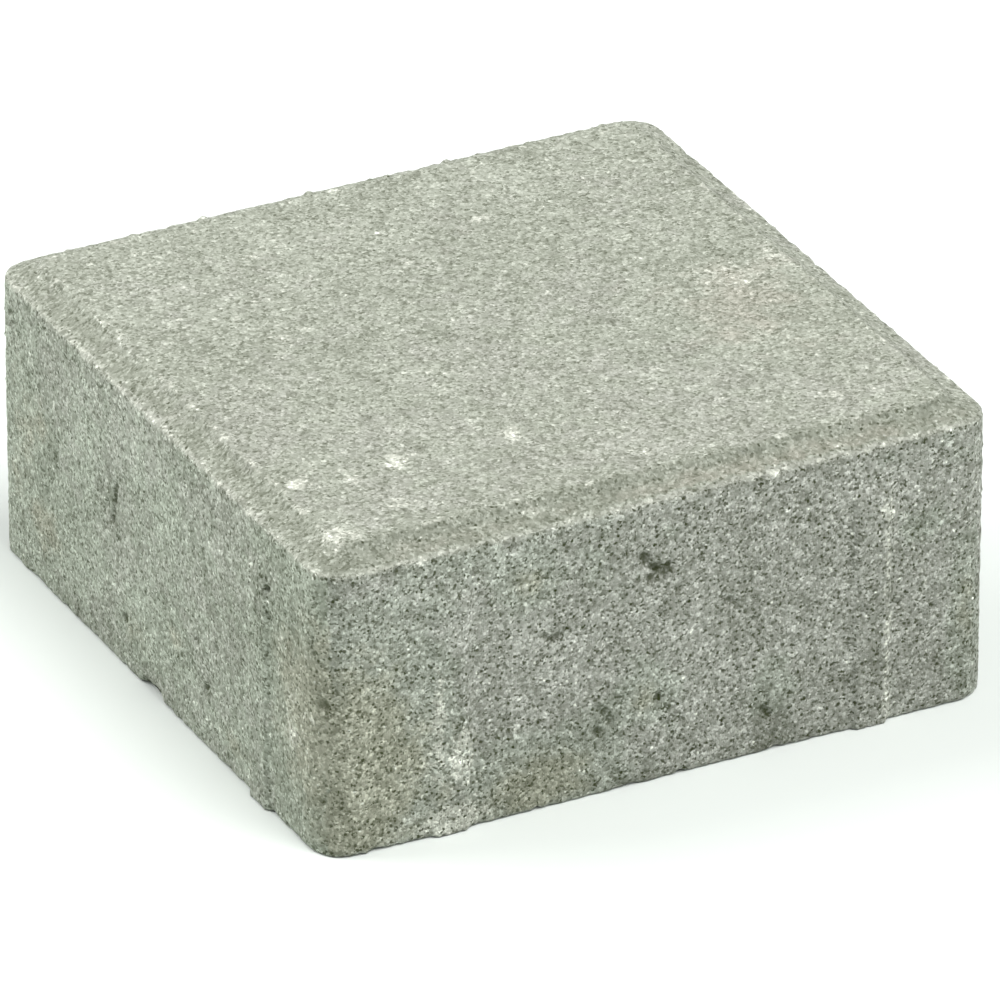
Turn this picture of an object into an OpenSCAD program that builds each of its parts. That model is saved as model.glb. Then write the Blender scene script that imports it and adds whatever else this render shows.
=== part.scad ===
// Square concrete paving stone, pressed in one piece from grey concrete.
// The top face stands on a short steep step, and below the step a gently
// falling ledge runs out to the lip. Under the lip the sides are upright.
// Low upright nibs on the sides keep a joint open between two laid stones.
// The stone lies flat on its underside, centred on the upright axis.

/* [Stone] */
// length along x, without the nibs
stone_length = 180; // [120:1:300]
// width along y, without the nibs
stone_width = 180; // [120:1:300]
// height from the underside to the top face
stone_thickness = 80; // [50:1:140]
// rounding of the four upright corners
corner_radius = 9; // [8:0.5:24]

/* [Rim] */
// height of the steep step under the top face
step_height = 2; // [1:0.25:5]
// how far the steep step comes outwards
step_run = 2; // [0.5:0.25:5]
// rounding of the top face at its corners
top_corner_radius = 4; // [1:0.5:16]
// how far the ledge falls from the step to the lip
ledge_fall = 2.25; // [0.5:0.25:5]
// width of the ledge from the step to the lip
ledge_run = 6.5; // [2:0.5:8]

/* [Nibs] */
// width of a nib where it grows out of the side
nib_width = 11; // [8:0.5:20]
// width of the flat crest of a nib
nib_crest = 7; // [2:0.5:7.5]
// how far a nib stands out from the side
nib_depth = 1.4; // [0.8:0.1:3]
// distance from the corner of the stone to the middle of a nib
nib_inset = 33.5; // [20:0.5:48]
// plain side left between the lip and the top of a nib
nib_top_gap = 10; // [5:1:25]
// height over which the top of a nib slopes back into the side
nib_slope = 4; // [1:0.5:10]

/* [Hidden] */
$fn = 96;
foot_height = stone_thickness - step_height;
lip_height = foot_height - ledge_fall;
nib_height = lip_height - nib_top_gap;
// the raised top is rooted this deep in the block, and a nib in its side
root = 1;

// Bar along y with the same outer face on its left and right. The face is a
// list of [inset, height] points from the bottom up.
module bar(span, run, face) {
    right = [for (p = face) [span / 2 - p[0], p[1]]];
    left = [for (i = [len(face) - 1:-1:0]) [face[i][0] - span / 2, face[i][1]]];
    rotate([90, 0, 0])
        linear_extrude(height = run, center = true)
            polygon(concat(right, left));
}

// Round post with the same outer face, which fills one corner.
module corner_post(radius, face) {
    outside = [for (p = face) [radius - p[0], p[1]]];
    bottom = face[0][1];
    top = face[len(face) - 1][1];
    rotate_extrude()
        polygon(concat([[0, bottom]], outside, [[0, top]]));
}

// Block with rounded upright corners and the same outer face all round.
module rounded_block(length, width, radius, face) {
    bar(length, width - 2 * radius, face);
    rotate([0, 0, 90])
        bar(width, length - 2 * radius, face);
    for (x = [-1, 1], y = [-1, 1])
        translate([x * (length / 2 - radius), y * (width / 2 - radius), 0])
            corner_post(radius, face);
}

// Body of the stone up to the foot of the step, with the ledge and the lip.
module body() {
    face = [[0, 0], [0, lip_height], [ledge_run, foot_height]];
    rounded_block(stone_length, stone_width, corner_radius, face);
}

// Raised top face with the steep step round it.
module raised_top() {
    face = [
        [0, foot_height - root],
        [0, foot_height],
        [step_run, stone_thickness]
    ];
    rounded_block(
        stone_length - 2 * ledge_run,
        stone_width - 2 * ledge_run,
        top_corner_radius + step_run,
        face
    );
}

// One nib, standing out towards -y from a side that lies in the xz plane.
module nib() {
    plan = [
        [-nib_width / 2, root],
        [-nib_width / 2, 0],
        [-nib_crest / 2, -nib_depth],
        [nib_crest / 2, -nib_depth],
        [nib_width / 2, 0],
        [nib_width / 2, root]
    ];
    // seen from the side, with the depth to the right and the height up
    side = [
        [-root, 0],
        [nib_depth, 0],
        [nib_depth, nib_height - nib_slope],
        [0, nib_height],
        [-root, nib_height]
    ];
    intersection() {
        linear_extrude(height = nib_height)
            polygon(plan);
        rotate([90, 0, -90])
            linear_extrude(height = nib_width, center = true)
                polygon(side);
    }
}

// Front and back side: two nibs, one towards each corner.
module front_and_back_nibs() {
    for (turn = [0, 180], x = [-1, 1])
        rotate([0, 0, turn])
            translate([x * (stone_length / 2 - nib_inset), -stone_width / 2, 0])
                nib();
}

// Left and right side: one nib, towards the front corner.
module left_and_right_nibs() {
    for (x = [-1, 1])
        translate([x * stone_length / 2, nib_inset - stone_width / 2, 0])
            rotate([0, 0, x * 90])
                nib();
}

module paving_stone() {
    color([0.66, 0.67, 0.62])
        union() {
            body();
            raised_top();
            front_and_back_nibs();
            left_and_right_nibs();
        }
}

paving_stone();
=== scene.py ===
import math
import random

import bmesh
import bpy
import numpy as np
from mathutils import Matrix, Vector, kdtree, noise


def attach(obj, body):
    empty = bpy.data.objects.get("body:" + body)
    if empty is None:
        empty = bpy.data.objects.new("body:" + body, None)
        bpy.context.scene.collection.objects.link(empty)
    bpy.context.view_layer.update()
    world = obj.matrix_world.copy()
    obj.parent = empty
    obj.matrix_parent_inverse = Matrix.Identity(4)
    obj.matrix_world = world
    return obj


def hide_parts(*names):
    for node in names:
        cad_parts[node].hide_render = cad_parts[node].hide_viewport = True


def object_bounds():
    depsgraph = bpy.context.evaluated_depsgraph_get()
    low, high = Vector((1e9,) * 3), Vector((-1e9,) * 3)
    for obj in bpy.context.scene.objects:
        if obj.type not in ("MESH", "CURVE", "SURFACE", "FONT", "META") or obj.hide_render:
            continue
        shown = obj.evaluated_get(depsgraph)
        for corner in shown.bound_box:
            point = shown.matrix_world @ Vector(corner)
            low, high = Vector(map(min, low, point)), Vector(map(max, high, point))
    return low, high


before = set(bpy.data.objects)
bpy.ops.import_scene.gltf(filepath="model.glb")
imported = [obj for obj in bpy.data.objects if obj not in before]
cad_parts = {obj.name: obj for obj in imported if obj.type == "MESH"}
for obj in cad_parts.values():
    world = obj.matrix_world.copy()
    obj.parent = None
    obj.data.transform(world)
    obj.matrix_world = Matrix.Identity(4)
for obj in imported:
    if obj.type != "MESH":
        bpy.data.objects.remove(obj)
cadLow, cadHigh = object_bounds()
mm = 0.001


# a long lens from well back, so that the edges stay nearly parallel

cameraSetup = {
    "azimuth": -27.3,  # degrees, 0 looks along +Y
    "elevation": 28.55,
    "distance": 3.206,
    "lens": 473,
    "aim": (0.0086, 0.0108, 0.0248),
    "nearestSeen": 0.1,
    "farthestSeen": 20,
}


def placeCamera(setup):
    turn = math.radians(setup["azimuth"])
    rise = math.radians(setup["elevation"])
    back = Vector((math.sin(turn) * math.cos(rise), -math.cos(turn) * math.cos(rise), math.sin(rise)))
    data = bpy.data.cameras.new("camera")
    data.lens = setup["lens"]
    data.clip_start = setup["nearestSeen"]
    data.clip_end = setup["farthestSeen"]
    camera = bpy.data.objects.new("camera", data)
    camera.location = Vector(setup["aim"]) + back * setup["distance"]
    camera.rotation_mode = "QUATERNION"
    camera.rotation_quaternion = (-back).to_track_quat("-Z", "Y")
    bpy.context.scene.collection.objects.link(camera)
    bpy.context.scene.camera = camera


placeCamera(cameraSetup)
print("camera placed")


# nodes, for the room and for the concrete

def addNode(tree, kind, **settings):
    node = tree.nodes.new(kind)
    for name, value in settings.items():
        setattr(node, name, value)
    return node


# joins a socket, or sets a plain value
def feed(tree, slot, value):
    if isinstance(value, bpy.types.NodeSocket):
        tree.links.new(value, slot)
    else:
        slot.default_value = value


def calc(tree, operation, *values):
    node = addNode(tree, "ShaderNodeMath", operation=operation)
    for slot, value in zip(node.inputs, values):
        feed(tree, slot, value)
    return node.outputs[0]


def multiplyAll(tree, first, *others):
    for other in others:
        first = calc(tree, "MULTIPLY", first, other)
    return first


# 0 below low, 1 above high, and a soft step between
def softStep(tree, value, low, high):
    node = addNode(tree, "ShaderNodeMapRange", interpolation_type="SMOOTHSTEP")
    for name, setting in (("Value", value), ("From Min", low), ("From Max", high)):
        feed(tree, node.inputs[name], setting)
    return node.outputs["Result"]


# past 0 and 1 the mix goes on in the same direction if it is not clamped
def mixColors(tree, amount, first, second, clamped=True):
    node = addNode(tree, "ShaderNodeMix", data_type="RGBA", clamp_factor=clamped)
    feed(tree, node.inputs[0], amount)
    feed(tree, node.inputs[6], first)  # sockets 6 and 7 are this node's two colors
    feed(tree, node.inputs[7], second)
    return node.outputs[2]


# light and floor

studioSetup = {
    "ambient": 0.27,  # what the room gives the object; seen straight on, the room is plain white
    "floorRadius": 6.0,
    "floorColor": (0.81, 0.85, 0.82, 1),
    "floorRoughness": 0.9,
    "floorShine": 0.1,
    "softness": 45,  # degrees across
    "lights": {
        # name: (direction to the light, strength)
        "overhead": ((0, 0, 1), 0.3),
        "frontRight": ((0.3, -0.5, 1), 2.7),
        "backLeft": ((-0.9, 0.9, 1), 2.4),
    },
}


def addLight(name, direction, strength, softness):
    data = bpy.data.lights.new(name, "SUN")
    data.energy = strength
    data.angle = math.radians(softness)
    light = bpy.data.objects.new(name, data)
    light.rotation_mode = "QUATERNION"
    light.rotation_quaternion = (-Vector(direction)).to_track_quat("-Z", "Y")
    bpy.context.scene.collection.objects.link(light)


def makeRoom(ambient):
    world = bpy.data.worlds.new("paleRoom")
    world.use_nodes = True
    tree = world.node_tree
    seen = addNode(tree, "ShaderNodeLightPath").outputs["Is Camera Ray"]
    background = tree.nodes["Background"]
    background.inputs["Color"].default_value = (1, 1, 1, 1)
    feed(tree, background.inputs["Strength"], calc(tree, "MULTIPLY_ADD", seen, 1 - ambient, ambient))
    bpy.context.scene.world = world


def makeFloor(setup):
    mesh = bpy.data.meshes.new("floor")
    shape = bmesh.new()
    bmesh.ops.create_circle(shape, cap_ends=True, segments=96, radius=setup["floorRadius"])
    shape.to_mesh(mesh)
    shape.free()
    floor = bpy.data.objects.new("floor", mesh)
    bpy.context.scene.collection.objects.link(floor)
    paint = bpy.data.materials.new("paleFloor")
    paint.use_nodes = True
    shader = paint.node_tree.nodes["Principled BSDF"]
    shader.inputs["Base Color"].default_value = setup["floorColor"]
    shader.inputs["Roughness"].default_value = setup["floorRoughness"]
    shader.inputs["Specular IOR Level"].default_value = setup["floorShine"]
    mesh.materials.append(paint)


def buildStudio(setup):
    makeRoom(setup["ambient"])
    for name, (direction, strength) in setup["lights"].items():
        addLight(name, direction, strength, setup["softness"])
    makeFloor(setup)
    bpy.context.scene.view_settings.view_transform = "Standard"


buildStudio(studioSetup)
print("floor and lights placed")


# sizes of the pressed block

blockSizes = {
    "nibDepth": 1.4 * mm,
    "lipDrop": 4.25 * mm,  # from the top face down to the lip
    "rimWidth": 8.5 * mm,  # from the side in to the top face
    "corner": 9 * mm,
    "topCorner": 4 * mm,
}
halfSide = cadHigh.x - blockSizes["nibDepth"]
topHeight = cadHigh.z
lipHeight = topHeight - blockSizes["lipDrop"]
topHalf = halfSide - blockSizes["rimWidth"]


# effects that the concretes share

def newGroup(name, inputs, outputs):
    tree = bpy.data.node_groups.new(name, "ShaderNodeTree")
    for label, (kind, value) in inputs.items():
        socket = tree.interface.new_socket(label, in_out="INPUT", socket_type=kind)
        if kind == "NodeSocketFloat":
            socket.default_value = value
    for label in outputs:
        tree.interface.new_socket(label, in_out="OUTPUT", socket_type="NodeSocketFloat")
    entry = addNode(tree, "NodeGroupInput")
    return tree, entry.outputs, addNode(tree, "NodeGroupOutput").inputs


# puts a group into a material with its own values, and gives its outputs
def useGroup(tree, group, **values):
    node = addNode(tree, "ShaderNodeGroup", node_tree=group)
    for label, value in values.items():
        feed(tree, node.inputs[label], value)
    return node.outputs


# angular grains: most have nearly the same tone, and a few are much darker or paler
def makeSandGrain():
    tree, given, result = newGroup(
        "sandGrain",
        {
            "Place": ("NodeSocketVector", None),
            "Size": ("NodeSocketFloat", 0.6 * mm),
            "Contrast": ("NodeSocketFloat", 0.5),
        },
        ["Shade", "Height"],
    )
    cells = addNode(tree, "ShaderNodeTexVoronoi")
    feed(tree, cells.inputs["Vector"], given["Place"])
    feed(tree, cells.inputs["Scale"], calc(tree, "DIVIDE", 1.0, given["Size"]))
    parts = addNode(tree, "ShaderNodeSeparateColor")
    feed(tree, parts.inputs["Color"], cells.outputs["Color"])
    pick = calc(tree, "MULTIPLY_ADD", parts.outputs["Red"], 2.0, -1.0)  # from -1 to 1
    extreme = calc(tree, "POWER", calc(tree, "ABSOLUTE", pick), 2.0)
    share = calc(tree, "MULTIPLY_ADD", extreme, 0.75, 0.25)  # a middling grain shows a quarter of it
    tone = calc(tree, "MULTIPLY", pick, share)
    feed(tree, result["Shade"], calc(tree, "MULTIPLY_ADD", tone, given["Contrast"], 1.0))
    feed(tree, result["Height"], calc(tree, "SUBTRACT", 1.0, cells.outputs["Distance"]))
    return tree


# soft patches where the cement set lighter or darker
def makeCementCloud():
    tree, given, result = newGroup(
        "cementCloud",
        {"Place": ("NodeSocketVector", None), "Size": ("NodeSocketFloat", 8 * mm)},
        ["Cloud", "Tint"],
    )
    clouds = addNode(tree, "ShaderNodeTexNoise")
    feed(tree, clouds.inputs["Vector"], given["Place"])
    feed(tree, clouds.inputs["Scale"], calc(tree, "DIVIDE", 1.0, given["Size"]))
    clouds.inputs["Detail"].default_value = 3
    clouds.inputs["Roughness"].default_value = 0.6
    parts = addNode(tree, "ShaderNodeSeparateColor")
    feed(tree, parts.inputs["Color"], clouds.outputs["Color"])
    feed(tree, result["Cloud"], parts.outputs["Red"])
    feed(tree, result["Tint"], parts.outputs["Green"])
    return tree


# single small dots, such as open pores, in the Share of the places that have one
def makeScatteredDot():
    tree, given, result = newGroup(
        "scatteredDot",
        {
            "Place": ("NodeSocketVector", None),
            "Spacing": ("NodeSocketFloat", 1.5 * mm),
            "Size": ("NodeSocketFloat", 0.8 * mm),
            "Share": ("NodeSocketFloat", 0.3),
        },
        ["Dot"],
    )
    cells = addNode(tree, "ShaderNodeTexVoronoi")
    feed(tree, cells.inputs["Vector"], given["Place"])
    feed(tree, cells.inputs["Scale"], calc(tree, "DIVIDE", 1.0, given["Spacing"]))
    parts = addNode(tree, "ShaderNodeSeparateColor")
    feed(tree, parts.inputs["Color"], cells.outputs["Color"])
    filled = calc(tree, "LESS_THAN", parts.outputs["Blue"], given["Share"])
    strength = calc(tree, "MULTIPLY_ADD", parts.outputs["Red"], 0.6, 0.4)  # the faintest dots have 0.4
    away = calc(tree, "MULTIPLY", cells.outputs["Distance"], given["Spacing"])
    outside = softStep(tree, calc(tree, "DIVIDE", away, given["Size"]), 0.3, 0.6)  # soft rim
    inside = calc(tree, "SUBTRACT", 1.0, outside)
    feed(tree, result["Dot"], multiplyAll(tree, filled, inside, strength))
    return tree


# 1 along an edge that runs round the block at one height, fading over Reach
def makePressedEdge():
    tree, given, result = newGroup(
        "pressedEdge",
        {
            "Place": ("NodeSocketVector", None),
            "Half": ("NodeSocketFloat", 90 * mm),
            "Corner": ("NodeSocketFloat", 9 * mm),
            "Height": ("NodeSocketFloat", 76 * mm),
            "Reach": ("NodeSocketFloat", 1 * mm),
        },
        ["Edge"],
    )
    parts = addNode(tree, "ShaderNodeSeparateXYZ")
    feed(tree, parts.inputs["Vector"], given["Place"])
    straight = calc(tree, "SUBTRACT", given["Half"], given["Corner"])
    pastX = calc(tree, "SUBTRACT", calc(tree, "ABSOLUTE", parts.outputs["X"]), straight)
    pastY = calc(tree, "SUBTRACT", calc(tree, "ABSOLUTE", parts.outputs["Y"]), straight)
    atCorner = addNode(tree, "ShaderNodeVectorMath", operation="LENGTH")
    both = addNode(tree, "ShaderNodeCombineXYZ")
    feed(tree, both.inputs["X"], calc(tree, "MAXIMUM", pastX, 0.0))
    feed(tree, both.inputs["Y"], calc(tree, "MAXIMUM", pastY, 0.0))
    feed(tree, atCorner.inputs[0], both.outputs["Vector"])
    inward = calc(tree, "MINIMUM", calc(tree, "MAXIMUM", pastX, pastY), 0.0)
    outward = calc(tree, "ADD", atCorner.outputs["Value"], inward)
    sideways = calc(tree, "SUBTRACT", outward, given["Corner"])
    upward = calc(tree, "SUBTRACT", parts.outputs["Z"], given["Height"])
    squares = calc(tree, "MULTIPLY_ADD", sideways, sideways, calc(tree, "MULTIPLY", upward, upward))
    away = calc(tree, "DIVIDE", calc(tree, "SQRT", squares), given["Reach"])
    feed(tree, result["Edge"], calc(tree, "SUBTRACT", 1.0, softStep(tree, away, 0.0, 1.0)))
    return tree


# breaks a soft mask up into flecks of one size and gaps four times as long
def makeRaggedMask():
    tree, given, result = newGroup(
        "raggedMask",
        {
            "Place": ("NodeSocketVector", None),
            "Amount": ("NodeSocketFloat", 0.0),
            "Flecks": ("NodeSocketFloat", 1.2 * mm),
        },
        ["Mask"],
    )
    small = addNode(tree, "ShaderNodeTexNoise")
    feed(tree, small.inputs["Vector"], given["Place"])
    feed(tree, small.inputs["Scale"], calc(tree, "DIVIDE", 1.0, given["Flecks"]))
    large = addNode(tree, "ShaderNodeTexNoise")
    feed(tree, large.inputs["Vector"], given["Place"])
    feed(tree, large.inputs["Scale"], calc(tree, "DIVIDE", 0.25, given["Flecks"]))
    swings = calc(tree, "ADD", small.outputs["Fac"], large.outputs["Fac"])  # 1 on average
    raggedness = 1.4
    level = calc(tree, "SUBTRACT", given["Amount"], raggedness)
    ragged = calc(tree, "MULTIPLY_ADD", swings, raggedness, level)
    feed(tree, result["Mask"], softStep(tree, ragged, 0.25, 0.75))
    return tree


sandGrain = makeSandGrain()
cementCloud = makeCementCloud()
scatteredDot = makeScatteredDot()
pressedEdge = makePressedEdge()
raggedMask = makeRaggedMask()
print("shared effects made")


# the faces of the concrete: each contrast is a swing of the tone about its middle, and each share
# is out of 1

# the top face and the rim
wornTop = {
    "paste": (0.307, 0.326, 0.268, 1),
    "coolPaste": (0.313, 0.325, 0.276, 1),
    "warmPaste": (0.326, 0.326, 0.270, 1),
    "deepColor": (0.022, 0.030, 0.000, 1),  # dark grains turn towards this
    "quartzColor": (0.600, 0.620, 0.545, 1),
    # pale lime, also the colour of the painted highlights
    "limeAndHighlightColor": (0.590, 0.603, 0.525, 1),
    "coolFrom": (0.4, 0.6),  # where on the tint, from 0 to 1, the cool and the warm paste set in
    "warmFrom": (0.65, 0.95),
    "grainSize": 0.60 * mm,
    "coarseSize": 1.1 * mm,
    "grainContrast": 0.57,
    "coarseContrast": 0.36,
    "poreSpacing": 1.5 * mm,
    "poreSize": 0.8 * mm,
    "poreShare": 0.14,
    "poreDark": 0.85,
    "hollowFlecks": 0.8 * mm,
    "quartzSpacing": 1.2 * mm,
    "quartzSize": 0.8 * mm,
    "quartzShare": 0.08,
    "cloudSize": 7 * mm,
    "cloudContrast": 0.24,
    "driftContrast": 0.14,
    "limeAndHighlightFlecks": 1.2 * mm,
    "limeAndHighlightStrength": 0.75,
    # the lip and the top edge are paler: painted highlight as well as paste-rich edges
    "lipPale": 0.27,
    "lipTint": 0.27,
    "lipReach": 2.0 * mm,
    "edgePale": 0.26,
    "edgeReach": 1.8 * mm,
    "shadeUnderLip": 0.0,
    "shadeReach": (5 * mm, 1.5 * mm),  # it starts and is full this far under the lip
    "bumpHeight": 0.13 * mm,
    "coarseRelief": 0.8,  # against 1 for the fine grain
    "poreRelief": -1.5,  # pores go in
    "roughness": (0.82, 0.97),
    "shine": 0.3,
}

# the sides, rougher and more open
mouldedSide = {
    **wornTop,
    "paste": (0.318, 0.341, 0.288, 1),
    "coolPaste": (0.331, 0.342, 0.299, 1),
    "warmPaste": (0.324, 0.333, 0.261, 1),
    "grainSize": 0.56 * mm,
    "coarseSize": 1.2 * mm,
    "grainContrast": 0.94,
    "coarseContrast": 0.38,
    "poreSize": 0.95 * mm,
    "poreShare": 0.34,
    "cloudSize": 6 * mm,
    "cloudContrast": 0.38,
    "driftContrast": 0.34,
    "shadeUnderLip": 0.10,
    "bumpHeight": 0.18 * mm,
}

# the left side, where the mould rubbed it smoother
rubbedSide = {
    **mouldedSide,
    "paste": (0.308, 0.339, 0.274, 1),
    "coolPaste": (0.321, 0.339, 0.285, 1),
    "grainSize": 0.64 * mm,
    "grainContrast": 0.70,
    "coarseContrast": 0.34,
    "poreShare": 0.28,
    "cloudContrast": 0.30,
}

# the underside, which was pressed on a board
boardFoot = {
    **mouldedSide,
    "paste": (0.320, 0.330, 0.280, 1),
    "coarseSize": 2.2 * mm,
    "poreSpacing": 2.6 * mm,
    "poreSize": 1.6 * mm,
    "poreShare": 0.30,
    "shadeUnderLip": 0.0,
    "bumpHeight": 0.16 * mm,
}


def readMark(tree, name):
    return addNode(tree, "ShaderNodeAttribute", attribute_name=name).outputs["Fac"]


# a swing about 1, from a value that goes from 0 to 1
def swing(tree, value, contrast):
    return calc(tree, "MULTIPLY_ADD", value, 2 * contrast, 1 - contrast)


# moves each place a little, so that grains and pores are angular
def stirPlace(tree, place, size):
    stir = addNode(tree, "ShaderNodeTexNoise")
    feed(tree, stir.inputs["Vector"], place)
    stir.inputs["Scale"].default_value = 1 / size
    stirred = addNode(tree, "ShaderNodeVectorMath", operation="MULTIPLY_ADD")
    feed(tree, stirred.inputs[0], stir.outputs["Color"])
    stirred.inputs[1].default_value = [size] * 3
    feed(tree, stirred.inputs[2], place)
    return stirred.outputs[0]


def addGrain(tree, place, look, grade):
    size = look[grade + "Size"]
    contrast = look[grade + "Contrast"]
    return useGroup(tree, sandGrain, Place=place, Size=size, Contrast=contrast)


def addDots(tree, place, look, kind, share):
    spacing = look[kind + "Spacing"]
    size = look[kind + "Size"]
    return useGroup(tree, scatteredDot, Place=place, Spacing=spacing, Size=size, Share=share)["Dot"]


def addEdge(tree, place, half, corner, height, reach):
    values = {"Half": half, "Corner": corner, "Height": height, "Reach": reach}
    return useGroup(tree, pressedEdge, Place=place, **values)["Edge"]


def makeConcrete(name, look):
    finish = bpy.data.materials.new(name)
    finish.use_nodes = True
    tree = finish.node_tree
    shader = tree.nodes["Principled BSDF"]
    place = addNode(tree, "ShaderNodeTexCoord").outputs["Object"]
    height = addNode(tree, "ShaderNodeSeparateXYZ")
    feed(tree, height.inputs["Vector"], place)
    stirred = stirPlace(tree, place, look["grainSize"])

    fine = addGrain(tree, stirred, look, "grain")
    coarse = addGrain(tree, stirred, look, "coarse")
    patches = useGroup(tree, cementCloud, Place=place, Size=look["cloudSize"])
    drifts = useGroup(tree, cementCloud, Place=place, Size=look["cloudSize"] * 4)  # the same, but wider
    poreShare = calc(tree, "ADD", readMark(tree, "porous"), look["poreShare"])
    pore = addDots(tree, stirred, look, "pore", poreShare)
    quartz = addDots(tree, stirred, look, "quartz", look["quartzShare"])
    lip = addEdge(tree, place, halfSide, blockSizes["corner"], lipHeight, look["lipReach"])
    topEdge = addEdge(tree, place, topHalf, blockSizes["topCorner"], topHeight, look["edgeReach"])

    # lime, ragged where it is thick; along the lip and the top edge it is painted highlight as well as
    # paste-rich edge, and the thin even tint along the lip is painted highlight too
    paleness = calc(tree, "MULTIPLY_ADD", lip, look["lipPale"], readMark(tree, "pale"))
    paleness = calc(tree, "MULTIPLY_ADD", topEdge, look["edgePale"], paleness)
    limeAndHighlight = useGroup(tree, raggedMask, Place=place, Amount=paleness, Flecks=look["limeAndHighlightFlecks"])["Mask"]
    lipTint = calc(tree, "MULTIPLY", lip, look["lipTint"])
    bloomAndHighlight = calc(tree, "MULTIPLY_ADD", limeAndHighlight, look["limeAndHighlightStrength"], lipTint)

    tint = calc(tree, "MULTIPLY", calc(tree, "ADD", drifts["Tint"], patches["Tint"]), 0.5)
    warmth = readMark(tree, "warmth")
    cool = softStep(tree, calc(tree, "SUBTRACT", tint, warmth), *look["coolFrom"])
    warm = softStep(tree, calc(tree, "ADD", tint, warmth), *look["warmFrom"])
    color = mixColors(tree, cool, look["paste"], look["coolPaste"])
    color = mixColors(tree, warm, color, look["warmPaste"])
    color = mixColors(tree, bloomAndHighlight, color, look["limeAndHighlightColor"])
    color = mixColors(tree, quartz, color, look["quartzColor"])

    starts, full = look["shadeReach"]
    nearLip = softStep(tree, height.outputs["Z"], lipHeight - starts, lipHeight - full)
    shade = multiplyAll(
        tree,
        fine["Shade"],
        coarse["Shade"],
        swing(tree, patches["Cloud"], look["cloudContrast"]),
        swing(tree, drifts["Cloud"], look["driftContrast"]),
        calc(tree, "MULTIPLY_ADD", nearLip, -look["shadeUnderLip"], 1.0),
        calc(tree, "SUBTRACT", 1.0, readMark(tree, "dim")),
    )
    # painted shade in the pores and hollows: they are darkened as though shaded inside
    depth = readMark(tree, "hollow")
    hollow = useGroup(tree, raggedMask, Place=place, Amount=depth, Flecks=look["hollowFlecks"])["Mask"]
    dark = calc(tree, "MAXIMUM", pore, calc(tree, "MULTIPLY", hollow, depth))
    shade = calc(tree, "MULTIPLY", shade, calc(tree, "MULTIPLY_ADD", dark, -look["poreDark"], 1.0))
    color = mixColors(tree, shade, look["deepColor"], color, clamped=False)
    feed(tree, shader.inputs["Base Color"], color)

    relief = calc(tree, "MULTIPLY_ADD", coarse["Height"], look["coarseRelief"], fine["Height"])
    relief = calc(tree, "MULTIPLY_ADD", pore, look["poreRelief"], relief)
    bump = addNode(tree, "ShaderNodeBump")
    bump.inputs["Strength"].default_value = 1
    bump.inputs["Distance"].default_value = look["bumpHeight"]
    feed(tree, bump.inputs["Height"], relief)
    feed(tree, shader.inputs["Normal"], bump.outputs["Normal"])
    low, high = look["roughness"]
    feed(tree, shader.inputs["Roughness"], calc(tree, "MULTIPLY_ADD", patches["Cloud"], high - low, low))
    shader.inputs["Specular IOR Level"].default_value = look["shine"]
    return finish


# in the order that skinParts counts them
concretes = [
    makeConcrete("wornTopConcrete", wornTop),
    makeConcrete("mouldedSideConcrete", mouldedSide),
    makeConcrete("boardFootConcrete", boardFoot),
    makeConcrete("rubbedSideConcrete", rubbedSide),
]
print("concretes mixed")


# the skin of the pressed block

blockSurface = {
    "voxel": 0.8 * mm,
    "weld": 0.01 * mm,
    "triangles": 194000,
    "room": 0.3 * mm,  # kept free inside the block's full size, for the grains that stand up
    "fullShadeDepth": 1.0 * mm,  # a hollow this deep is painted fully dark, as painted shade inside it
    "diceSeed": 11,
    "mapGap": 2 * mm,
    # size of each kind of unevenness, its height on the top and its height on the sides
    "unevenness": [
        (30 * mm, 0.08 * mm, 0.08 * mm),
        (8 * mm, 0.06 * mm, 0.08 * mm),
        (2.6 * mm, 0.10 * mm, 0.15 * mm),
        (1.5 * mm, 0.10 * mm, 0.14 * mm),
    ],
}

# where each part of the skin ends; a tilt is how far up a normal points, from -1 to 1
skinLimits = {
    "lipMargin": 0.5 * mm,  # the top starts this far above the lip, and its concrete as far below it
    "topTilt": 0.3,
    "underside": 1 * mm,
    "undersideTilt": -0.7,
    "undersideMargin": 0.6 * mm,  # its concrete ends this far up, and this far in from the sides
    "topEdge": 1.5 * mm,
    "sideDepth": 3 * mm,  # the marks on a side reach this deep, to take in the hollows
}

edgeWear = {
    # edge: (reach, most taken off, size of the bites)
    "lip": (1.3 * mm, 0.28 * mm, 3 * mm),
    "topEdge": (1.4 * mm, 0.30 * mm, 4 * mm),
    "foot": (1.5 * mm, 0.38 * mm, 3 * mm),
}
wearEverywhere = 0.35  # added to the bites, so that little of an edge stays whole

scatteredMarks = {
    # mark: (how many, smallest and largest radius, depth as a share of it, where)
    # a grain has a negative depth
    "topPores": (300, 0.7 * mm, 1.1 * mm, 0.30, "top"),
    "sidePores": (1200, 0.7 * mm, 1.3 * mm, 0.40, "side"),
    "sideHoles": (60, 1.3 * mm, 1.9 * mm, 0.40, "side"),
    "footPores": (300, 0.8 * mm, 1.8 * mm, 0.40, "underside"),
    "topGrains": (400, 0.5 * mm, 1.0 * mm, -0.40, "top"),
    "sideGrains": (900, 0.5 * mm, 0.9 * mm, -0.35, "side"),
    "edgeGrains": (260, 0.7 * mm, 1.2 * mm, -0.60, "topEdge"),
}

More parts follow.
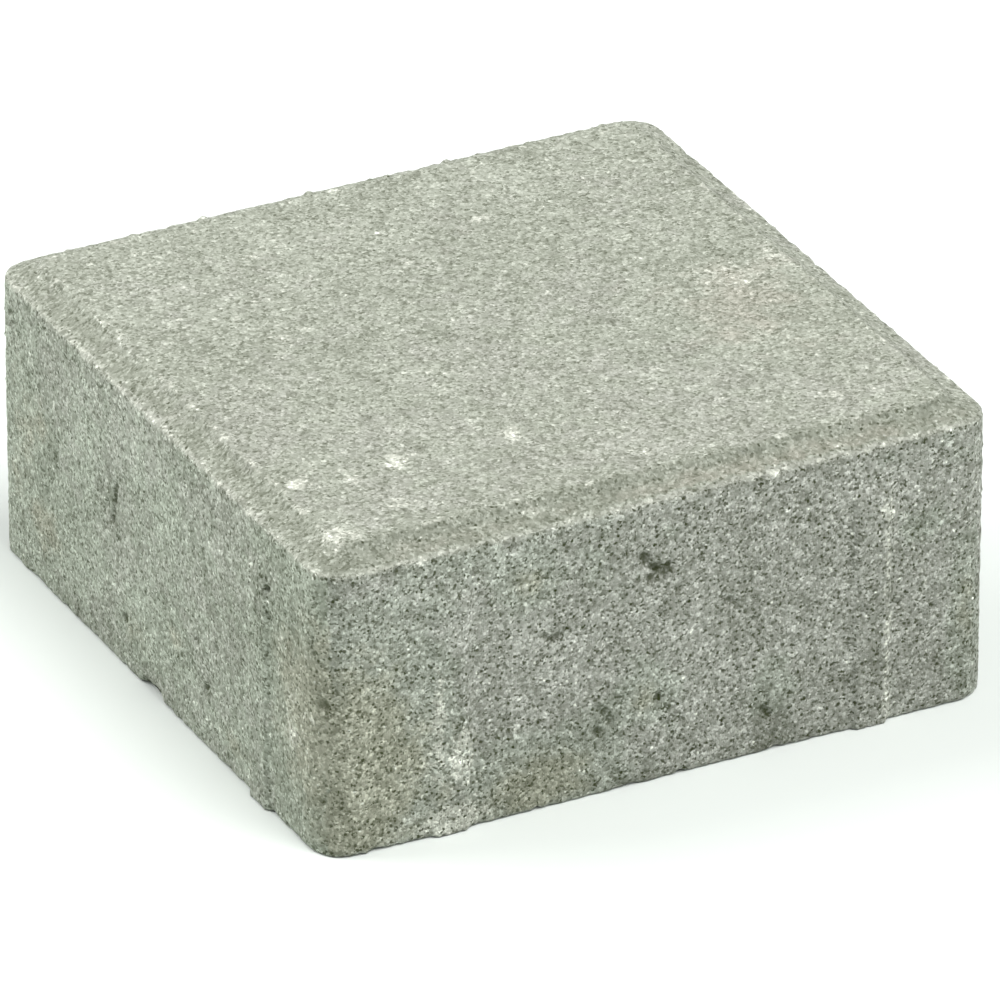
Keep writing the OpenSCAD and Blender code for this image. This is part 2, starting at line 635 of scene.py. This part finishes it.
# mark: (side, radius and depth in mm, places); a place is along the side and up, in mm from its
# middle and foot, or x and y on the rim
handMarks = {
    "openPores": ("front", 1.6, 1.3, [
        (-4.4, 59.6), (-2.6, 58), (-1, 57.2), (-2.9, 55.3), (0.6, 55.8), (-5, 61.6), (1.6, 57.6)
    ]),
    "middlePores": ("front", 1.5, 0.8, [
        (-31.6, 46.8), (-29.9, 45.6), (-28, 46.2), (17.5, 44), (19.4, 43.2)
    ]),
    "lowPores": ("front", 1.6, 0.9, [
        (-15.6, 22.4), (-14.4, 19.6), (-17.2, 17.4), (27.4, 12), (28.4, 10.4), (-1, 22.6)
    ]),
    "nibEdgePores": ("front", 1.2, 0.7, [
        (57, 27), (57.4, 24), (56.6, 12.4), (81.6, 58), (82.6, 50), (81.4, 44)
    ]),
    "crackUnderLip": ("front", 0.9, 0.9, [(-70.4, 74.4), (-69.4, 74.9)]),
    "longPore": ("left", 1.3, 1.3, [
        (21.6, 48), (22, 45.8), (22.4, 43.6), (26.4, 41.4), (22.6, 40.6), (23.6, 38.2)
    ]),
    "upperPores": ("left", 1.3, 0.8, [
        (80.5, 68), (77.8, 66.2), (23.5, 74), (-84, 54), (-47, 48), (-48.6, 46)
    ]),
    "nibPores": ("left", 1.4, 1.2, [
        (-61, 60.5), (-58.6, 49.6), (-57.4, 47.8), (-56.2, 46.2), (-55.2, 44.6), (-86, 54)
    ]),
    "lowerPores": ("left", 1.5, 0.9, [
        (-28, 17.4), (-26.6, 16.2), (-22, 27), (-33, 30), (17, 14)
    ]),
    "chippedFoot": ("left", 3.0, 1.3, [(6, 0.3), (3.2, 0.2), (0.4, 0.5)]),
    "chippedFront": ("front", 2.2, 0.6, [(-76, 0.2), (-8, 0.2), (31, 0.3)]),
    "crumbs": ("rim", 1.6, -1.1, [
        (-53, 86), (-34, 87), (-29, 85), (-5, 87), (16, 86), (33, 87), (55, 86), (76, 86)
    ]),
}
rimHeight = 76.5  # in mm, on the ledge


def applyModifiers(piece):
    graph = bpy.context.evaluated_depsgraph_get()
    baked = bpy.data.meshes.new_from_object(piece.evaluated_get(graph))
    piece.modifiers.clear()
    piece.data = baked


def readPoints(mesh):
    points = np.empty(len(mesh.vertices) * 3, np.float32)
    mesh.vertices.foreach_get("co", points)
    normals = np.empty(len(mesh.vertices) * 3, np.float32)
    mesh.vertex_normals.foreach_get("vector", normals)
    return points.reshape(-1, 3).astype(float), normals.reshape(-1, 3).astype(float)


def writeMark(mesh, name, values):
    mark = mesh.attributes.new(name, "FLOAT", "POINT")
    mark.data.foreach_set("value", values)


# each seed reads the noise at another place
def noiseAt(points, size, seed):
    places = (points / size + (seed * 7.31, seed * 3.17, seed * 5.73)).tolist()
    return np.array([noise.noise(place) for place in places])


# 1 at no distance, and next to nothing at twice the reach
def fade(distance, reach):
    return np.exp(-((distance / reach) ** 2))


# voxel remesh of the node's own shape, so that the whole skin can be worked on
def rebuildBlock(source, surface):
    shell = bpy.data.objects.new("stoneSkin", source.data.copy())
    bpy.context.scene.collection.objects.link(shell)
    weld = shell.modifiers.new("weld", "WELD")
    weld.merge_threshold = surface["weld"]
    rebuild = shell.modifiers.new("rebuild", "REMESH")
    rebuild.mode = "VOXEL"
    rebuild.voxel_size = surface["voxel"]
    applyModifiers(shell)
    return shell


# how far each point is outside an upright square pillar with rounded corners
def outsidePillar(points, half, corner):
    past = np.abs(points[:, :2]) - (half - corner)
    return np.linalg.norm(np.maximum(past, 0), axis=1) + np.minimum(past.max(1), 0) - corner


def edgeDistances(points):
    pastSide = outsidePillar(points, halfSide, blockSizes["corner"])
    pastTop = outsidePillar(points, topHalf, blockSizes["topCorner"])
    height = points[:, 2]
    return {
        "lip": np.hypot(pastSide, height - lipHeight),
        "topEdge": np.hypot(pastTop, height - topHeight),
        "foot": np.hypot(pastSide, height),
    }


def sortRegions(points, normals, limits):
    height = points[:, 2]
    upward = normals[:, 2]
    top = (height > lipHeight + limits["lipMargin"]) & (upward > limits["topTilt"])
    underside = (height < limits["underside"]) & (upward < limits["undersideTilt"])
    topEdge = edgeDistances(points)["topEdge"] < limits["topEdge"]
    return {"top": top, "underside": underside, "side": ~top & ~underside, "topEdge": topEdge}


def waveAndWear(points, regions, surface):
    free = np.minimum(points - np.array(cadLow), np.array(cadHigh) - points).min(1)
    height = -np.clip(surface["room"] - free, 0, surface["room"])
    for seed, (size, topAmount, sideAmount) in enumerate(surface["unevenness"]):
        height += noiseAt(points, size, seed) * np.where(regions["top"], topAmount, sideAmount)
    # the wear's seeds start well past the waves' own
    for seed, (edge, away) in enumerate(edgeDistances(points).items(), start=20):
        reach, most, bite = edgeWear[edge]
        bites = np.clip(noiseAt(points, bite, seed) + wearEverywhere, 0, None)
        height -= bites * most * fade(away, reach)
    return height


# adds one round hollow, or grain if the depth is negative, and runs out just past its radius
def pressMark(height, hollow, tree, place, radius, depth):
    reach = radius * 1.25
    for _, index, away in tree.find_range(place, reach):
        share = 1 - (away / reach) ** 2
        height[index] -= depth * share**2
        # a hollow is painted darker the deeper it is, as painted shade
        if depth > 0:
            hollowShade = min(1, depth / blockSurface["fullShadeDepth"])
            hollow[index] = max(hollow[index], share * hollowShade)


def handPlace(side, along, up):
    if side == "front":
        return Vector((along, -halfSide / mm, up)) * mm
    if side == "left":
        return Vector((-halfSide / mm, along, up)) * mm
    return Vector((along, up, rimHeight)) * mm


def pressMarks(points, regions, height, surface):
    tree = kdtree.KDTree(len(points))
    for index, point in enumerate(points.tolist()):
        tree.insert(point, index)
    tree.balance()
    hollow = np.zeros(len(points))
    dice = random.Random(surface["diceSeed"])
    for count, smallest, largest, share, where in scatteredMarks.values():
        allowed = np.flatnonzero(regions[where]).tolist()
        for index in dice.sample(allowed, count):
            radius = smallest + (largest - smallest) * dice.random() ** 2
            pressMark(height, hollow, tree, points[index], radius, radius * share)
    for side, radius, depth, places in handMarks.values():
        for along, up in places:
            pressMark(height, hollow, tree, handPlace(side, along, up), radius * mm, depth * mm)
    return hollow


def roughenSkin(shell, surface):
    points, normals = readPoints(shell.data)
    regions = sortRegions(points, normals, skinLimits)
    height = waveAndWear(points, regions, surface)
    hollow = pressMarks(points, regions, height, surface)
    shell.data.vertices.foreach_set("co", (points + normals * height[:, None]).ravel())
    writeMark(shell.data, "hollow", hollow)
    shell.data.update()


def thinMesh(shell, triangles):
    thin = shell.modifiers.new("thin", "DECIMATE")
    shell.data.calc_loop_triangles()
    thin.ratio = min(1, triangles / len(shell.data.loop_triangles))
    thin.use_collapse_triangulate = True
    applyModifiers(shell)


def keepInside(mesh):
    points, _ = readPoints(mesh)
    mesh.vertices.foreach_set("co", np.clip(points, cadLow, cadHigh).ravel())
    mesh.update()


# marks painted on the mesh, as side: [(along, up, reach along, reach up, amount)] in mm;
# on the top, along is x and up is y

# lime, and painted highlights along the nib edges and the left rim
palePatches = {
    "top": [
        (-76.5, -50, 3, 3.5, 0.75),
        (-64, -53.5, 2.6, 5, 0.85),
        (-52, -51.5, 4, 3.5, 0.9),
        (-20, -51, 3, 4.5, 0.85),
        (-59.5, -69, 4, 3, 0.7),
        (-78, -76.5, 6, 4, 0.66),
        (57, -68, 3, 3, 0.5),
        (62, -4, 7, 6, 0.5),
        (78, 3, 3, 5, 0.6),
        (24, 51, 3, 3, 0.6),
        (-34, 59, 4, 3, 0.5),
        (-48, 17, 3, 3, 0.5),
        # painted highlights along the left rim's top edge and lip, with paste-rich edges
        (-81.3, -35, 1.4, 55, 0.22),
        (-89.5, 60, 1.8, 34, 0.46),
        (-89.5, -20, 1.6, 60, 0.16),
    ],
    "front": [
        (-54, 21, 4.5, 9, 0.78),
        (-56.5, 3, 7, 5, 1.7),
        # painted highlights along the edges of the two nibs
        (-60, 32, 1.6, 18, 0.85),
        (60.4, 33, 1.4, 40, 0.52),
        (60.4, 5, 2, 6, 1.0),
        (60.2, 58, 1.8, 4, 0.85),
        (60.4, 27, 1.6, 4, 0.85),
        (-35, 60, 7, 5, 0.3),
    ],
    # the first is a painted highlight along the left nib
    "left": [(-52, 38, 1.2, 34, 0.4), (-73, 28, 3, 5, 0.55), (-70, 30, 8, 20, 0.2)],
}

# darker patches: dirt and damp, and painted shade where it is marked
dimPatches = {
    "front": [
        # the whole front face a little darker
        (0, 38, 200, 200, 0.05),
        (-84, 40, 24, 30, 0.16),
        (-89, 38, 8, 42, 0.24),
        (36, 46, 48, 24, 0.12),
        (-17, 18, 6, 7, 0.22),
        (-46, 37, 3, 4, 0.12),
        (48, 30, 6, 16, 0.07),
        (18, 44, 7, 4, 0.10),
        (52, 3, 12, 4, 0.12),
        (29, 12, 7, 10, 0.20),
        (29, 2, 10, 4, 0.24),
        (-6, 2, 9, 4, 0.22),
        (-2, 57, 7, 7, 0.16),
        # darker beside the right nib
        (56.4, 22, 2.5, 26, 0.16),
        (75, 57, 13, 13, 0.17),
    ],
    "left": [
        (-81, 38, 16, 24, 0.18),
        (-72, 47, 10, 11, 0.27),
        (-71, 20, 9, 10, 0.13),
        (-89, 43, 9, 23, 0.25),
        # painted shade on the shaded flank of the left nib
        (-58.5, 53, 4, 13, 0.22),
        (-44, 42, 14, 20, 0.07),
        (24, 43, 6, 9, 0.12),
        (-27, 17, 5, 5, 0.12),
        (5, 4, 8, 5, 0.16),
        (78, 67, 6, 5, 0.10),
    ],
    "top": [
        (67.6, 8, 3.4, 3.4, 0.22),
        (60.4, 10.3, 3, 3, 0.14),
        (-12, 0, 3, 4.5, 0.18),
        (8, 12, 3, 3, 0.14),
        (-80, -85, 6, 4, 0.22),
        # painted shade on the rim: the front ledge, the front step and the left ledge
        (0, -86.5, 400, 4, 0.22),
        (0, -82.4, 400, 1.8, 0.18),
        (-85.5, 0, 3, 400, 0.2),
    ],
}

# takes some of the dimness away
lightPatches = {
    "front": [
        (-31, 34, 10, 11, 0.10),
        (-54, 54, 7, 7, 0.05),
        (-14, 9, 8, 3, 0.12),
        (-9, 48, 6, 5, 0.05),
        (6, 38, 6, 6, 0.05),
        (72, 28, 6, 12, 0.06),
    ],
    "left": [
        (0, 2, 200, 13, 0.05),
        (-12, 34, 26, 12, 0.03),
        (-74, 29, 2.4, 2.4, 0.2),
        # painted light on the lower flank of the left nib, lifting its shade
        (-60, 24, 3, 17, 0.08),
    ],
    "top": [(-18, 68, 50, 22, 0.065)],
}

# more open pores than elsewhere
porousPatches = {
    "front": [
        (-2.4, 57.4, 5, 5, 0.5),
        (-31, 46, 3, 3, 0.4),
        (-16, 19.7, 5, 6, 0.5),
        (29, 8, 6, 12, 0.3),
    ],
    "left": [
        (23.5, 42, 4, 7, 0.5),
        (-59, 51, 4, 16, 0.5),
        (78, 66, 4, 5, 0.4),
        (3, 4, 12, 5, 0.3),
        (-27, 17, 4, 4, 0.3),
    ],
    "top": [
        (67.6, 8, 4, 4, 0.4),
        (-12, 0, 4, 5, 0.3),
        (8, 12, 4, 4, 0.3),
        (-80, -85, 6, 4, 0.4),
        (0, -82.5, 300, 2, 0.35),
    ],
}

# brownish cement
warmPatches = {
    "front": [
        (-80, 22, 20, 30, 0.65),
        (-33, 8, 17, 13, 0.5),
        (-36, 62, 7, 7, 0.4),
        (-4, 24, 7, 7, 0.45),
        (30, 18, 6, 9, 0.4),
        (82, 24, 5, 20, 0.35),
        (70, 52, 10, 6, 0.3),
    ],
    "left": [
        (-86, 36, 20, 34, 0.5),
        (-72, 47, 12, 14, 0.35),
        (74, 34, 14, 30, 0.25),
        (62, 18, 14, 9, 0.4),
        (64, 43, 8, 6, 0.35),
        (8, 14, 10, 7, 0.35),
        (-10, 22, 7, 6, 0.35),
        (-44, 9, 12, 5, 0.25),
        (-6, 55, 8, 8, 0.2),
    ],
    "top": [
        (62, -16, 22, 30, 0.35),
        (0, -87, 400, 5, 0.3),
        (-10, 50, 100, 40, 0.1),
        (-86, 0, 4, 400, 0.1),
    ],
}

# greyish cement
greyPatches = {
    "front": [(38, 40, 44, 50, 0.25), (-32, 38, 20, 20, 0.3), (72, 26, 8, 12, 0.2)],
    "left": [(-20, 45, 30, 30, 0.05)],
}

# darker towards the bottom, fading over the reach
footDarkening = {"amount": 0.10, "reach": 24 * mm}


def paintPatches(points, onSide, patches):
    paint = np.zeros(len(points))
    for side, rows in patches.items():
        along, up = {"top": (0, 1), "front": (0, 2), "left": (1, 2)}[side]
        alongSide = points[:, along] / mm
        upSide = points[:, up] / mm
        for middle, height, reachAlong, reachUp, amount in rows:
            away = np.hypot((alongSide - middle) / reachAlong, (upSide - height) / reachUp)
            paint = np.maximum(paint, amount * fade(away, 1) * onSide[side])
    return paint


def paintMarks(mesh, limits):
    points, normals = readPoints(mesh)
    regions = sortRegions(points, normals, limits)
    sideEnds = -halfSide + limits["sideDepth"]
    onSide = {
        "top": regions["top"],
        "front": regions["side"] & (points[:, 1] < sideEnds),
        "left": regions["side"] & (points[:, 0] < sideEnds),
    }
    pale, dim, light, porous, warm, grey = (
        paintPatches(points, onSide, patches)
        for patches in (palePatches, dimPatches, lightPatches, porousPatches, warmPatches, greyPatches)
    )
    dim += footDarkening["amount"] * fade(points[:, 2], footDarkening["reach"])
    writeMark(mesh, "pale", pale)
    writeMark(mesh, "dim", dim - light)
    writeMark(mesh, "porous", porous)
    writeMark(mesh, "warmth", warm - grey)


# each part's concrete, the two axes it lies flat along on the bake map, and its column and row there
skinParts = [
    (0, (0, 1), (0, 2)),  # top and rim
    (2, (0, 1), (1, 2)),  # underside
    (1, (0, 2), (0, 0)),  # front
    (1, (0, 2), (1, 0)),  # back
    (3, (1, 2), (0, 1)),  # left
    (1, (1, 2), (1, 1)),  # right
]


# the number in skinParts of each triangle
def sortFaces(mesh, limits):
    centers = np.empty(len(mesh.polygons) * 3, np.float32)
    mesh.polygons.foreach_get("center", centers)
    centers = centers.reshape(-1, 3)
    outward = np.abs(centers[:, :2]).max(1)
    isTop = centers[:, 2] > lipHeight - limits["lipMargin"]
    footEdge = limits["undersideMargin"]
    isFoot = (centers[:, 2] < footEdge) & (outward < halfSide - footEdge)
    facesX = np.abs(centers[:, 0]) > np.abs(centers[:, 1])
    isFront = ~facesX & (centers[:, 1] < 0)
    isLeft = centers[:, 0] < 0
    return np.select([isTop, isFoot, isFront, ~facesX, isLeft], [0, 1, 2, 3, 4], 5)


# gives each triangle its concrete, and a flat place on the bake map
def mapFaces(mesh, limits, gap):
    part = sortFaces(mesh, limits)
    mesh.polygons.foreach_set("material_index", np.array([row[0] for row in skinParts])[part])

    corners = np.empty(len(mesh.loops), np.int32)
    mesh.loops.foreach_get("vertex_index", corners)
    points, _ = readPoints(mesh)
    spots = points[corners] - np.array(cadLow)
    cornerPart = np.repeat(part, 3)
    width = cadHigh.x - cadLow.x + gap
    flat = np.empty((len(corners), 2))
    for index, (_, axes, (column, row)) in enumerate(skinParts):
        own = cornerPart == index
        start = (column * width + gap / 2, row * (topHeight + gap) + gap / 2)
        flat[own] = spots[own][:, axes] + start
    bakeMap = mesh.uv_layers.new(name="OFBake")
    bakeMap.data.foreach_set("uv", (flat / (2 * width)).astype(np.float32).ravel())


stone = rebuildBlock(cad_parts["paving_stone"], blockSurface)
print("block rebuilt:", len(stone.data.vertices), "points")
roughenSkin(stone, blockSurface)
print("skin roughened")
thinMesh(stone, blockSurface["triangles"])
keepInside(stone.data)
stone.data.shade_smooth()
print("skin thinned to", len(stone.data.polygons), "triangles")
stone.data.materials.clear()
for concrete in concretes:
    stone.data.materials.append(concrete)
paintMarks(stone.data, skinLimits)
mapFaces(stone.data, skinLimits, blockSurface["mapGap"])
print("stone painted")

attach(stone, "root")
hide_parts("paving_stone")
